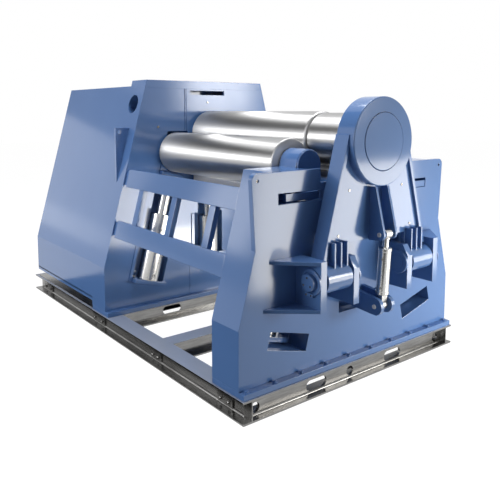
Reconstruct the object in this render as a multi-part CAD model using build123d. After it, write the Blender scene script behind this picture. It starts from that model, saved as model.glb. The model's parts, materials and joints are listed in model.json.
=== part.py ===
from build123d import *
import os
from math import cos, radians, sin, tan

# Four-roll plate bending machine, in millimetres.
# +X runs along the rolls towards the drop end, +Z is up, and the origin lies on the floor
# under the middle of the whole machine. It is symmetric about the plane Y = 0.

# Base frame of I-beams
base_drive_margin = 37
base_drop_margin = 6
base_side_margin = 10
beam_height = 140
beam_flange = 140
beam_web = 7
beam_flange_thick = 12
drive_beam_back = 20
middle_beam_share = 0.505
web_hole_radius = 32
web_hole_inset = 126
web_slot_share = 0.185
web_slot_length = 177
web_slot_height = 72

# Stands at the two ends of the rolls: vertical sides, then a slope up to the head
drive_wall_x = -207
wall_distance = 1480
drive_stand_depth = 244
drop_stand_depth = 264
knee_half_width = 990
knee_rise = 354
head_half_width = 588
head_rise = 438
cap_height = 65
cheek_rise = 20
foot_thick = 36
foot_overhang = 48
sill_height = 770
drop_stand_fall = 161
end_plate_thick = 35
slope_port_radius = 77
slope_port_depth = 60
slope_port_back = 136
slope_port_fall = 194

# End plate of the drop stand: ears, notch for the top roll, slots and windows
ear_inset = 92
ear_foot_rise = 440
ear_corner_radius = 40
ear_hole_radius = 9
ear_hole_inset = 43
notch_half_width = 360
notch_depth = 85
ear_slot_margin = 198
ear_slot_inner_y = 330
ear_slot_fall = 127
ear_slot_height = 65
window_y = 613
window_rise = 206
window_length = 319
window_height = 108
centre_window_half_width = 182
centre_window_rise = 294
centre_window_height = 100
window_depth = 130
ear_slot_depth = 110

# Drive housing behind the drive stand, and the lifting lugs on the stand's slopes
housing_length = 1305
housing_top_fall = 45
housing_rise = 50
housing_inset = 8
lug_back = 127
lug_thick = 25
lug_height = 441
lug_fall = 386
lug_eye_radius = 16
lug_eye_edge = 34

# Ladders of tie bars and posts between the stands, in the planes of the slopes,
# placed as shares of the drop stand's slope and of the distance between the stands
tie_thick = 40
tie_set_back = 50
tie_tenon_inset = 14
upper_tie_shares = (0.7216, 0.8773)
lower_tie_shares = (0.2770, 0.4274)
post_width = 66
post_shares = (0.211, 0.5326, 0.844)

# Rolls
bottom_roll_rise = 240
bottom_roll_radius = 170
plate_gap = 30
top_roll_radius = 186
top_roll_drive_gap = 38
top_roll_drop_gap = 70
top_neck_radius = 176
top_neck_gap = 22
top_journal_radius = 110
cone_back_radius = 108
cone_tip_radius = 80
cone_tip_gap = 37
side_roll_radius = 166
side_roll_rise = 232
side_roll_gap = 13.6
lower_roll_drive_gap = 25
lower_roll_drop_gap = 42
journal_radius = 75
journal_inset = 5
running_clearance = 0.05

# Carriages that carry the lower rolls along their guides
guide_angle = 14.8
carriage_half_width = 105
carriage_foot_depth = 180
carriage_back_inset = 5
carriage_standout = 5
slot_clearance = 5
drop_cartridge_reach = 30
drop_carriage_depth = 127

# Lift cylinders under the carriages, each in a recess of its stand
lift_set_back = 10
lift_barrel_radius = 88
lift_rod_radius = 45
lift_rod_grip = 80
lift_barrel_floor = 60
lift_recess_half_width = 147
lift_recess_above = 30
lift_foot_thick = 25
lift_foot_half_length = 50
lift_mount_thick = 30
lift_mount_depth = 150
lift_mount_reach = 60
lift_mount_half_width = 145
side_rod_exposed = 325
side_barrel_length = 550
bottom_rod_exposed = 130
bottom_barrel_length = 330

# Top roll bearing block in the drive stand
block_half_width = 205
block_fall = 215
block_window_inset = 28
block_window_fall = 14
block_window_height = 36
block_window_depth = 40

# Hinge of the tilting yoke
hinge_offset = 136
hinge_rise = 594
hinge_pin_radius = 45
pin_head_radius = 80
pin_head_thick = 12
knuckle_radius = 82
knuckle_gap = 10
clevis_edge = 76
clevis_below = 172
inner_clevis_above = 119
outer_clevis_above = 130
clevis_chamfer_x = 40
clevis_chamfer_z = 69
inner_clevis_y = 232
outer_clevis_gap = 23
clevis_thick = 50
upper_wing_span = 210
lower_wing_span = 255
wing_thick = 22

# Tilting yoke with the drop-end bearing
ring_radius = 278
ring_gap = 42
ring_length = 148
ring_bore_radius = 110
cap_radius = 182
cap_depth = 25
cap_groove = 2
cap_proud = 3
web_back = 1
web_thick = 30
web_rise = 191
yoke_flange_thick = 28
yoke_flange_back_inset = 2
yoke_flange_face_inset = 36
yoke_flange_top_half_width = 280
yoke_flange_above_roll = 48
yoke_flange_bottom_half_width = 487
yoke_flange_rise = 98
rib_thick = 18
rib_gap_half = 47
rib_ring_gap = 2
rib_rise = 183
rib_nose_radius = 36
rib_head_width = 48
knuckle_rib_rise = 216
knuckle_rib_thick = 14
knuckle_rib_reach = 50
knuckle_rib_pitch = 53

# Tilt cylinder between the yoke's ribs and its bracket on the end plate
upper_pivot_reach = 84
upper_pivot_rise = 228
lower_pivot_reach = 56
lower_pivot_fall = 234
pivot_pin_radius = 14
open_pivot_play = 4
tilt_barrel_radius = 42
tilt_barrel_start = 76
tilt_barrel_end = 376
tilt_barrel_floor = 30
tilt_rod_radius = 20
tilt_rod_foot = 166
eye_radius = 30
eye_half_width = 28
eye_side_gap = 8
bracket_thick = 30
bracket_nose_radius = 56
bracket_below = 42
bracket_above = 80

# Helper lengths for cuts and for picking edges
cut_overrun = 20
edge_tolerance = 1

# Heights that follow, from the floor up
stand_bottom = beam_height + foot_thick
knee_height = stand_bottom + knee_rise
ear_foot_z = knee_height + ear_foot_rise
sill_top = stand_bottom + sill_height
bottom_roll_z = sill_top + bottom_roll_rise
side_roll_z = bottom_roll_z + side_roll_rise
top_roll_z = bottom_roll_z + bottom_roll_radius + plate_gap + top_roll_radius
head_height = top_roll_z + head_rise
head_seam_height = head_height - cap_height
cheek_bottom = top_roll_z + cheek_rise
block_bottom = top_roll_z - block_fall
block_window_top = head_seam_height - block_window_fall
block_window_bottom = block_window_top - block_window_height
drop_stand_top = top_roll_z - drop_stand_fall
notch_bottom = drop_stand_top - notch_depth
ear_slot_top = drop_stand_top - ear_slot_fall
ear_slot_bottom = ear_slot_top - ear_slot_height
window_z = stand_bottom + window_rise
centre_window_bottom = stand_bottom + centre_window_rise
centre_window_top = centre_window_bottom + centre_window_height
housing_top = head_height - housing_top_fall
housing_bottom = stand_bottom + housing_rise
lug_top = head_height - lug_fall
lug_bottom = lug_top - lug_height
hinge_z = stand_bottom + hinge_rise
clevis_bottom = hinge_z - clevis_below
inner_clevis_top = hinge_z + inner_clevis_above
outer_clevis_top = hinge_z + outer_clevis_above
web_bottom = hinge_z + web_rise
yoke_flange_top = top_roll_z + yoke_flange_above_roll
yoke_flange_bottom = hinge_z + yoke_flange_rise
rib_top = top_roll_z - ring_radius - rib_ring_gap
rib_bottom = hinge_z + rib_rise
knuckle_rib_top = hinge_z + knuckle_rib_rise
upper_pivot_z = hinge_z + upper_pivot_rise
lower_pivot_z = hinge_z - lower_pivot_fall
bracket_low = lower_pivot_z - bracket_below
bracket_high = lower_pivot_z + bracket_above

# Places along the rolls that follow
drive_back_x = drive_wall_x - drive_stand_depth
drop_wall_x = drive_wall_x + wall_distance
end_plate_x = drop_wall_x + drop_stand_depth
drop_back_x = end_plate_x - end_plate_thick
housing_end_x = drive_back_x - housing_length
base_start_x = housing_end_x - base_drive_margin
base_end_x = end_plate_x + foot_overhang + base_drop_margin
base_length = base_end_x - base_start_x
drive_beam_x = drive_wall_x - drive_beam_back
middle_beam_x = drive_wall_x + middle_beam_share * wall_distance
lug_x = drive_wall_x - lug_back
top_roll_start_x = drive_wall_x + top_roll_drive_gap
top_roll_end_x = drop_wall_x - top_roll_drop_gap
lower_roll_start_x = drive_wall_x + lower_roll_drive_gap
lower_roll_end_x = drop_wall_x - lower_roll_drop_gap
drop_cartridge_x = drop_wall_x - drop_cartridge_reach
drop_carriage_end_x = drop_wall_x + drop_carriage_depth
drive_lift_x = drive_wall_x - lift_set_back
drop_lift_x = drop_wall_x + lift_set_back
hinge_x = end_plate_x + hinge_offset
clevis_reach_x = hinge_x + clevis_edge
ring_back_x = end_plate_x + ring_gap
top_neck_end_x = ring_back_x - top_neck_gap
ring_face_x = ring_back_x + ring_length
cone_tip_x = ring_face_x - cone_tip_gap
web_face_x = hinge_x - web_back
yoke_flange_back_x = ring_back_x + yoke_flange_back_inset
yoke_flange_face_x = ring_face_x - yoke_flange_face_inset
upper_pivot_x = hinge_x + upper_pivot_reach
lower_pivot_x = hinge_x + lower_pivot_reach

# Widths that follow
base_width = 2 * (knee_half_width + base_side_margin)
web_hole_y = base_width / 2 - web_hole_inset
web_slot_y = web_slot_share * base_width
ear_half_width = knee_half_width - ear_inset
ear_slot_outer_y = ear_half_width - ear_slot_margin
block_window_half_width = block_half_width - block_window_inset
outer_clevis_y = yoke_flange_bottom_half_width + outer_clevis_gap
slot_half_width = carriage_half_width + slot_clearance
side_roll_distance = side_roll_radius + top_roll_radius + side_roll_gap
side_roll_y = (side_roll_distance**2 - (top_roll_z - side_roll_z) ** 2) ** 0.5

# Places along the guides that follow, from the roll's axis
lift_foot_bottom = -carriage_foot_depth - lift_foot_thick
side_barrel_top = lift_foot_bottom - side_rod_exposed
side_barrel_bottom = side_barrel_top - side_barrel_length
bottom_barrel_top = lift_foot_bottom - bottom_rod_exposed
bottom_barrel_bottom = bottom_barrel_top - bottom_barrel_length

# Slopes that follow
slope_ratio = (knee_half_width - head_half_width) / (head_height - knee_height)
slope_stretch = (1 + slope_ratio**2) ** 0.5
drop_slope_length = (drop_stand_top - knee_height) * slope_stretch
lower_tie_low, lower_tie_high = (share * drop_slope_length for share in lower_tie_shares)
upper_tie_low, upper_tie_high = (share * drop_slope_length for share in upper_tie_shares)
guide_tan = tan(radians(guide_angle))
guide_cos = cos(radians(guide_angle))
guide_sin = sin(radians(guide_angle))


def slope_half_width(z):
    """Half width of the stands at height z, on the slope above the knee."""
    return knee_half_width - (z - knee_height) * slope_ratio


def guide_y(z, offset):
    """Y at height z of the line beside the front guide axis, offset inwards from it."""
    return -side_roll_y + (z - side_roll_z) * guide_tan + offset / guide_cos


def prism_x(points, x_start, x_end):
    """Outline in Y and Z, extruded from x_start to x_end."""
    outline = make_face(Plane.YZ.offset(x_start) * Polyline(*points, close=True))
    return extrude(outline, amount=x_end - x_start, dir=(1, 0, 0))


def prism_y(outline, y_start, y_end):
    """Sketch drawn in X and Z, extruded from y_start to y_end."""
    return extrude(Plane.XZ.offset(-y_start) * outline, amount=y_end - y_start, dir=(0, 1, 0))


def block(x_start, x_end, y_start, y_end, z_start, z_end):
    """Box between its limits on each axis."""
    return Pos(x_start, y_start, z_start) * Box(
        x_end - x_start, y_end - y_start, z_end - z_start, align=(Align.MIN, Align.MIN, Align.MIN)
    )


def rod_x(radius, x_start, x_end, y=0, z=0):
    """Round bar along X."""
    bar = Cylinder(radius, x_end - x_start, align=(Align.CENTER, Align.CENTER, Align.MIN))
    return Pos(x_start, y, z) * Rot(0, 90, 0) * bar


def rod_y(radius, y_start, y_end, x, z):
    """Round bar along Y."""
    bar = Cylinder(radius, y_end - y_start, align=(Align.CENTER, Align.CENTER, Align.MIN))
    return Pos(x, y_start, z) * Rot(-90, 0, 0) * bar


def rod_z(radius, z_start, z_end, x=0, y=0):
    """Round bar along Z."""
    bar = Cylinder(radius, z_end - z_start, align=(Align.CENTER, Align.CENTER, Align.MIN))
    return Pos(x, y, z_start) * bar


def mirrored(shape):
    """The same shape on the rear side of the machine."""
    return mirror(shape, about=Plane.XZ)


def both_sides(shape):
    """The front shape with its rear twin, as separate solids."""
    return Compound(children=[*shape.solids(), *mirrored(shape).solids()])


def save(name, shape):
    """Write one node."""
    export_step(shape, f"parts/{name}.step")


# Frames of the two lower roll guides: local X along the rolls, local Z up the guide,
# with the roll's axis at the local origin
front_guide = Plane(
    origin=(0, -side_roll_y, side_roll_z), x_dir=(1, 0, 0), z_dir=(0, guide_sin, guide_cos)
).location
bottom_guide = Pos(0, 0, bottom_roll_z)

# Frame of the front slope: local X along the rolls, local Y inwards, local Z up the slope
front_slope = Plane(
    origin=(0, -knee_half_width, knee_height), x_dir=(1, 0, 0), z_dir=(0, slope_ratio, 1)
).location


# Base frame
def beam_profile():
    """I-section, standing on the floor, centred on its web."""
    gap = beam_height - 2 * beam_flange_thick
    bottom = Rectangle(beam_flange, beam_flange_thick, align=(Align.CENTER, Align.MIN))
    web = Pos(0, beam_flange_thick) * Rectangle(beam_web, gap, align=(Align.CENTER, Align.MIN))
    top = Pos(0, beam_flange_thick + gap) * bottom
    return bottom + web + top


def side_beam():
    """Front beam of the base, mitred at both ends."""
    centre = -base_width / 2 + beam_flange / 2
    beam = extrude(Plane.YZ.offset(base_start_x) * Pos(centre, 0) * beam_profile(), amount=base_length)
    corners = Polyline(
        (base_start_x, -base_width / 2),
        (base_end_x, -base_width / 2),
        (base_end_x - beam_flange, -base_width / 2 + beam_flange),
        (base_start_x + beam_flange, -base_width / 2 + beam_flange),
        close=True,
    )
    return beam & extrude(make_face(corners), amount=beam_height)


def cross_beam(x, length):
    """I-beam along Y with its web at x."""
    profile = Plane.XZ.offset(-length / 2) * Pos(x, 0) * beam_profile()
    return extrude(profile, amount=length)


def web_cuts(x):
    """Round holes and oblong slots through the web of an end beam."""
    middle = beam_height / 2
    cuts = []
    for y in (-web_hole_y, 0, web_hole_y):
        cuts.append(rod_x(web_hole_radius, x - cut_overrun, x + cut_overrun, y, middle))
    for y in (-web_slot_y, web_slot_y):
        slot = Pos(y, middle) * SlotOverall(web_slot_length, web_slot_height)
        cuts.append(extrude(Plane.YZ.offset(x - cut_overrun) * slot, amount=2 * cut_overrun))
    return cuts


def end_beam(side):
    """Beam across one end of the base, mitred into the side beams."""
    outer_x = base_end_x if side > 0 else base_start_x
    inner_x = outer_x - side * beam_flange
    x = (outer_x + inner_x) / 2
    corners = Polyline(
        (outer_x, -base_width / 2),
        (outer_x, base_width / 2),
        (inner_x, base_width / 2 - beam_flange),
        (inner_x, -base_width / 2 + beam_flange),
        close=True,
    )
    beam = cross_beam(x, base_width) & extrude(make_face(corners), amount=beam_height, dir=(0, 0, 1))
    for cut in web_cuts(x):
        beam -= cut
    return beam


def inner_beam(x):
    """Cross beam between the side beams."""
    return cross_beam(x, base_width - 2 * beam_flange)


def foot(x_start, x_end):
    """Flat foot plate under a stand."""
    return block(x_start, x_end, -knee_half_width, knee_half_width, beam_height, stand_bottom)


# Stands
def lift_recesses(x_start, x_end):
    """Recesses of the three lift cylinders, as spaces to cut from a stand."""
    back = x_start - cut_overrun
    front = x_end + cut_overrun
    half = lift_recess_half_width
    spaces = []
    for guide, top, bottom in (
        (front_guide, side_barrel_top, side_barrel_bottom),
        (bottom_guide, bottom_barrel_top, bottom_barrel_bottom),
    ):
        floor = bottom - lift_mount_thick
        spaces.append(guide * block(back, front, -half, half, floor, top + lift_recess_above))
    return [*spaces, mirrored(spaces[0])]


def guide_slots(x_start, x_end):
    """Slots of the rods over the recesses, as spaces to cut from a sill."""
    back = x_start - cut_overrun
    front = x_end + cut_overrun
    half = slot_half_width
    side = front_guide * block(back, front, -half - cut_overrun, half, side_barrel_top, 0)
    return [side, mirrored(side), bottom_guide * block(back, front, -half, half, bottom_barrel_top, 0)]


def outer_pillar(top, x_start, x_end):
    """Front part of a stand, between the slope and the side roll's guide slot."""
    points = (
        (-knee_half_width, stand_bottom),
        (-knee_half_width, knee_height),
        (-slope_half_width(top), top),
        (guide_y(top, -slot_half_width), top),
        (guide_y(stand_bottom, -slot_half_width), stand_bottom),
    )
    pillar = prism_x(points, x_start, x_end)
    for recess in lift_recesses(x_start, x_end):
        pillar -= recess
    return pillar


def sill(x_start, x_end):
    """Lower part of a stand, between the pillars, with the slots of the lift cylinders."""
    low = guide_y(stand_bottom, -slot_half_width)
    high = guide_y(sill_top, -slot_half_width)
    points = ((low, stand_bottom), (-low, stand_bottom), (-high, sill_top), (high, sill_top))
    body = prism_x(points, x_start, x_end)
    for space in (*guide_slots(x_start, x_end), *lift_recesses(x_start, x_end)):
        body -= space
    return body


def horn(top, x_start, x_end):
    """Wedge between the front side roll's slot and the bottom roll's slot."""
    points = (
        (guide_y(sill_top, slot_half_width), sill_top),
        (guide_y(top, slot_half_width), top),
        (-slot_half_width, top),
        (-slot_half_width, sill_top),
    )
    return prism_x(points, x_start, x_end)


def drive_pillar():
    """Front pillar of the drive stand, with the round port in its slope."""
    port_y = -slope_half_width(head_height - slope_port_fall)
    slope = Plane(
        origin=(drive_wall_x - slope_port_back, port_y, head_height - slope_port_fall),
        x_dir=(1, 0, 0),
        z_dir=(0, 1, -slope_ratio),
    ).location
    port = rod_z(slope_port_radius, -cut_overrun, slope_port_depth)
    return outer_pillar(head_seam_height, drive_back_x, drive_wall_x) - slope * port


def drive_cheek():
    """Wall panel over the front side roll's slot, beside the bearing block."""
    points = (
        (guide_y(cheek_bottom, -slot_half_width), cheek_bottom),
        (guide_y(head_seam_height, -slot_half_width), head_seam_height),
        (-block_half_width, head_seam_height),
        (-block_half_width, cheek_bottom),
    )
    return prism_x(points, drive_back_x, drive_wall_x)


def drive_cap():
    """Head of the drive stand over the panels and the bearing block."""
    low = slope_half_width(head_seam_height)
    points = (
        (-low, head_seam_height),
        (low, head_seam_height),
        (head_half_width, head_height),
        (-head_half_width, head_height),
    )
    return prism_x(points, drive_back_x, drive_wall_x)


def top_bearing_block():
    """Block that carries the top roll's driven end."""
    body = block(
        drive_back_x, drive_wall_x, -block_half_width, block_half_width, block_bottom, head_seam_height
    )
    body -= rod_x(
        top_journal_radius + running_clearance,
        drive_back_x - cut_overrun,
        drive_wall_x + cut_overrun,
        0,
        top_roll_z,
    )
    body -= block(
        drive_wall_x - block_window_depth,
        drive_wall_x + cut_overrun,
        -block_window_half_width,
        block_window_half_width,
        block_window_bottom,
        block_window_top,
    )
    return body


def drive_housing():
    """Closed housing of the roll drives, with the stand's outline a little smaller."""
    top_half = slope_half_width(housing_top) - housing_inset
    knee_half = knee_half_width - housing_inset
    points = (
        (-knee_half, housing_bottom),
        (-knee_half, knee_height),
        (-top_half, housing_top),
        (top_half, housing_top),
        (knee_half, knee_height),
        (knee_half, housing_bottom),
    )
    return prism_x(points, housing_end_x, drive_back_x)


def lifting_lug():
    """Triangular plate with an eye, on the drive stand's front slope."""
    top_y = -slope_half_width(lug_top)
    bottom_y = -slope_half_width(lug_bottom)
    points = ((bottom_y, lug_bottom), (bottom_y, lug_top), (top_y, lug_top))
    plate = prism_x(points, lug_x - lug_thick / 2, lug_x + lug_thick / 2)
    eye = rod_x(
        lug_eye_radius,
        lug_x - lug_thick,
        lug_x + lug_thick,
        bottom_y + lug_eye_edge,
        lug_top - lug_eye_edge,
    )
    return plate - eye


def tie_bars():
    """Upper and lower bars between the stands, on the front slope."""
    start = drive_wall_x + tie_set_back
    bars = []
    for low, high in ((lower_tie_low, lower_tie_high), (upper_tie_low, upper_tie_high)):
        bar = block(start, drop_wall_x, 0, tie_thick, low, high)
        inset = tie_tenon_inset
        bar += block(drive_wall_x, start, inset, tie_thick, low + inset, high - inset)
        bars.extend((front_slope * bar).solids())
    return Compound(children=bars)


def tie_posts():
    """Posts between the two bars."""
    posts = []
    for share in post_shares:
        x = drive_wall_x + share * wall_distance
        post = block(x - post_width / 2, x + post_width / 2, 0, tie_thick, lower_tie_high, upper_tie_low)
        posts.extend((front_slope * post).solids())
    return Compound(children=posts)


def plate_pockets():
    """Windows and ear slots of the drop stand, as spaces to cut from its pieces."""
    front = end_plate_x + cut_overrun
    half = centre_window_half_width
    back = drop_back_x - window_depth
    pockets = [block(back, front, -half, half, centre_window_bottom, centre_window_top)]
    window = Box(
        front - back, window_length, window_height, align=(Align.MIN, Align.CENTER, Align.CENTER)
    )
    slot_back = drop_back_x - ear_slot_depth
    for side in (-1, 1):
        tilt = Rot(side * guide_angle, 0, 0)
        pockets.append(Pos(back, side * window_y, window_z) * tilt * window)
        near, far = sorted((side * ear_slot_outer_y, side * ear_slot_inner_y))
        pockets.append(block(slot_back, front, near, far, ear_slot_bottom, ear_slot_top))
    return pockets


def drop_pillar():
    """Front pillar of the drop stand, with its parts of the pockets."""
    pillar = outer_pillar(drop_stand_top, drop_wall_x, drop_back_x)
    for pocket in plate_pockets():
        pillar -= pocket
    return pillar


def drop_sill():
    """Sill of the drop stand, with its parts of the pockets."""
    body = sill(drop_wall_x, drop_back_x)
    for pocket in plate_pockets():
        body -= pocket
    return body


def end_plate():
    """Outer plate of the drop stand, with ears beyond the slopes."""
    ear_foot_y = slope_half_width(ear_foot_z)
    points = (
        (-knee_half_width, stand_bottom),
        (-knee_half_width, knee_height),
        (-ear_foot_y, ear_foot_z),
        (-ear_half_width, drop_stand_top),
        (-notch_half_width, drop_stand_top),
        (-notch_half_width, notch_bottom),
        (notch_half_width, notch_bottom),
        (notch_half_width, drop_stand_top),
        (ear_half_width, drop_stand_top),
        (ear_foot_y, ear_foot_z),
        (knee_half_width, knee_height),
        (knee_half_width, stand_bottom),
    )
    plate = prism_x(points, drop_back_x, end_plate_x)
    ear_corners = [
        edge
        for edge in plate.edges().filter_by(Axis.X)
        if abs(abs(edge.center().Y) - ear_half_width) < edge_tolerance
        and edge.center().Z > drop_stand_top - edge_tolerance
    ]
    plate = fillet(ear_corners, ear_corner_radius)
    back = drop_back_x - cut_overrun
    front = end_plate_x + cut_overrun
    for pocket in plate_pockets():
        plate -= pocket
    for side in (-1, 1):
        hole_y = side * (ear_half_width - ear_hole_inset)
        plate -= rod_x(ear_hole_radius, back, front, hole_y, drop_stand_top - ear_hole_inset)
    return plate


# Rolls and carriages
def lower_roll(radius):
    """Lower roll with a journal at each end, on the local X axis."""
    barrel = rod_x(radius, lower_roll_start_x, lower_roll_end_x)
    drive_end = drive_back_x + carriage_back_inset + journal_inset
    drop_end = drop_carriage_end_x - journal_inset
    return barrel + rod_x(journal_radius, drive_end, drop_end)


def top_roll():
    """Top roll: drive journal, barrel, neck and the cone that sits in the yoke."""
    drive_end = drive_back_x + journal_inset
    body = rod_x(top_journal_radius, drive_end, top_roll_start_x)
    body += rod_x(top_roll_radius, top_roll_start_x, top_roll_end_x)
    body += rod_x(top_neck_radius, top_roll_end_x, top_neck_end_x)
    length = cone_tip_x - top_neck_end_x
    cone = Cone(cone_back_radius, cone_tip_radius, length, align=(Align.CENTER, Align.CENTER, Align.MIN))
    body += Pos(top_neck_end_x, 0, 0) * Rot(0, 90, 0) * cone
    return Pos(0, 0, top_roll_z) * body


def carriage_end(lift_x, x_start, x_end, barrel_top):
    """Bearing carriage at one end of a lower roll, with a foot plate and its cylinder rod."""
    width = carriage_half_width
    foot_bottom = -carriage_foot_depth
    bearing = rod_x(width, x_start, x_end) + block(x_start, x_end, -width, width, foot_bottom, 0)
    bore = journal_radius + running_clearance
    bearing -= rod_x(bore, x_start - cut_overrun, x_end + cut_overrun)
    near = lift_x - lift_foot_half_length
    far = lift_x + lift_foot_half_length
    plate = block(near, far, -width, width, lift_foot_bottom, foot_bottom)
    rod = rod_z(lift_rod_radius, barrel_top - lift_rod_grip, lift_foot_bottom, lift_x)
    return [*bearing.solids(), *plate.solids(), *rod.solids()]


def carriages(barrel_top):
    """The two carriages of one lower roll, in the guide's frame."""
    drive_start = drive_back_x + carriage_back_inset
    drive_end = drive_wall_x + carriage_standout
    drive = carriage_end(drive_lift_x, drive_start, drive_end, barrel_top)
    drop = carriage_end(drop_lift_x, drop_cartridge_x, drop_carriage_end_x, barrel_top)
    return [*drive, *drop]


def lift_barrel(x, top, bottom):
    """Cylinder barrel with the rod's bore, in the guide's frame."""
    barrel = rod_z(lift_barrel_radius, bottom, top, x)
    bore = lift_rod_radius + running_clearance
    return barrel - rod_z(bore, bottom + lift_barrel_floor, top + cut_overrun, x)


def lift_mount(wall_x, inward, top):
    """Seat of a barrel: a tongue in the slot and a wider ledge in front of the wall."""
    bottom = top - lift_mount_thick
    near, far = sorted((wall_x - inward * lift_mount_depth, wall_x))
    tongue = block(near, far, -carriage_half_width, carriage_half_width, bottom, top)
    near, far = sorted((wall_x, wall_x + inward * lift_mount_reach))
    return tongue + block(near, far, -lift_mount_half_width, lift_mount_half_width, bottom, top)


def lift_set(make_side, make_bottom):
    """Front, bottom and rear copies of a lift cylinder piece."""
    front = front_guide * make_side
    bottom = bottom_guide * make_bottom
    return Compound(children=[*front.solids(), *bottom.solids(), *mirrored(front).solids()])


# Hinge and yoke
def clevis_plate(y_start, top):
    """Hinge plate standing out of the end plate, with its upper corner cut off."""
    outline = make_face(
        Polyline(
            (end_plate_x, clevis_bottom),
            (clevis_reach_x, clevis_bottom),
            (clevis_reach_x, top - clevis_chamfer_z),
            (clevis_reach_x - clevis_chamfer_x, top),
            (end_plate_x, top),
            close=True,
        )
    )
    hole = Pos(hinge_x, hinge_z) * Circle(hinge_pin_radius + running_clearance)
    return prism_y(outline - hole, y_start, y_start + clevis_thick)


def outer_clevis():
    """Outer hinge plate at the rear, with a wing at its top and at its bottom."""
    outline = make_face(
        Polyline(
            (end_plate_x, clevis_bottom),
            (clevis_reach_x, clevis_bottom),
            (clevis_reach_x, outer_clevis_top),
            (end_plate_x, outer_clevis_top),
            close=True,
        )
    )
    hole = Pos(hinge_x, hinge_z) * Circle(hinge_pin_radius + running_clearance)
    plate = prism_y(outline - hole, outer_clevis_y, outer_clevis_y + clevis_thick)
    side_y = outer_clevis_y + clevis_thick
    for low, span in (
        (clevis_bottom, lower_wing_span),
        (outer_clevis_top - wing_thick, upper_wing_span),
    ):
        wing = make_face(
            Polyline(
                (end_plate_x, side_y),
                (clevis_reach_x, side_y),
                (end_plate_x, side_y + span),
                close=True,
            )
        )
        plate += extrude(Pos(0, 0, low) * wing, amount=wing_thick, dir=(0, 0, 1))
    return plate


def hinge_bracket():
    """Both plates of the rear hinge."""
    inner = clevis_plate(inner_clevis_y, inner_clevis_top)
    return Compound(children=[*inner.solids(), *outer_clevis().solids()])


def hinge_pin():
    """Rear hinge pin with a retaining head at each end."""
    inner_face = inner_clevis_y
    outer_face = outer_clevis_y + clevis_thick
    pin = rod_y(hinge_pin_radius, inner_face, outer_face, hinge_x, hinge_z)
    inner_head = rod_y(pin_head_radius, inner_face - pin_head_thick, inner_face, hinge_x, hinge_z)
    outer_head = rod_y(pin_head_radius, outer_face, outer_face + pin_head_thick, hinge_x, hinge_z)
    return Compound(children=[*pin.solids(), *inner_head.solids(), *outer_head.solids()])


def ring_space():
    """Cylinder of the bearing ring, long enough to cut its neighbours."""
    return rod_x(ring_radius, ring_back_x - cut_overrun, ring_face_x + cut_overrun, 0, top_roll_z)


def bearing_ring():
    """Ring round the top roll's cone, with a seat for the cap."""
    ring = rod_x(ring_radius, ring_back_x, ring_face_x, 0, top_roll_z)
    ring -= rod_x(ring_bore_radius, ring_back_x - cut_overrun, ring_face_x + cut_overrun, 0, top_roll_z)
    seat = cap_radius + cap_groove
    return ring - rod_x(seat, ring_face_x - cap_depth, ring_face_x + cut_overrun, 0, top_roll_z)


def web_half_width(z):
    """Half width of the web at height z, between the inner faces of the flanges."""
    spread = yoke_flange_bottom_half_width - yoke_flange_top_half_width
    run = spread / (yoke_flange_top - yoke_flange_bottom)
    return yoke_flange_bottom_half_width - (z - yoke_flange_bottom) * run - yoke_flange_thick


def yoke_web():
    """Flat web of the yoke under the bearing ring."""
    low = web_half_width(web_bottom)
    high = web_half_width(top_roll_z)
    points = ((-low, web_bottom), (low, web_bottom), (high, top_roll_z), (-high, top_roll_z))
    return prism_x(points, web_face_x - web_thick, web_face_x) - ring_space()


def yoke_flange():
    """Front side flange of the yoke."""
    top = -yoke_flange_top_half_width
    bottom = -yoke_flange_bottom_half_width
    points = (
        (top, yoke_flange_top),
        (top + yoke_flange_thick, yoke_flange_top),
        (bottom + yoke_flange_thick, yoke_flange_bottom),
        (bottom, yoke_flange_bottom),
    )
    return prism_x(points, yoke_flange_back_x, yoke_flange_face_x) - ring_space()


def yoke_ribs():
    """Two ribs on the web that hold the tilt cylinder's upper pin."""
    nose = Pos(upper_pivot_x, upper_pivot_z) * Circle(rib_nose_radius)
    root = Polyline(
        (web_face_x, rib_bottom),
        (web_face_x, rib_top),
        (web_face_x + rib_head_width, rib_top),
        close=True,
    )
    outline = make_hull([*nose.edges(), *root.edges()])
    outer = rib_gap_half + rib_thick
    ribs = prism_y(outline, -outer, -rib_gap_half) + prism_y(outline, rib_gap_half, outer)
    return ribs + rod_y(pivot_pin_radius, -outer, outer, upper_pivot_x, upper_pivot_z)


def knuckle():
    """Rear hinge knuckle with a neck and three ribs up to the web."""
    start = inner_clevis_y + clevis_thick + knuckle_gap
    end = outer_clevis_y - knuckle_gap
    body = rod_y(knuckle_radius, start, end, hinge_x, hinge_z)
    neck_end = web_half_width(web_bottom)
    body += block(web_face_x - web_thick, web_face_x, start, neck_end, hinge_z, web_bottom)
    reach = web_face_x + knuckle_rib_reach
    for step in (-1, 0, 1):
        y = (start + neck_end) / 2 + step * knuckle_rib_pitch
        half = knuckle_rib_thick / 2
        body += block(web_face_x, reach, y - half, y + half, hinge_z, knuckle_rib_top)
    bore = hinge_pin_radius + running_clearance
    return body - rod_y(bore, start - cut_overrun, end + cut_overrun, hinge_x, hinge_z)


# Tilt cylinder, drawn along the local Z axis from its lower pivot
tilt_line = Plane(
    origin=(lower_pivot_x, 0, lower_pivot_z),
    x_dir=(upper_pivot_z - lower_pivot_z, 0, lower_pivot_x - upper_pivot_x),
    z_dir=(upper_pivot_x - lower_pivot_x, 0, upper_pivot_z - lower_pivot_z),
).location
pivot_distance = ((upper_pivot_x - lower_pivot_x) ** 2 + (upper_pivot_z - lower_pivot_z) ** 2) ** 0.5


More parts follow.
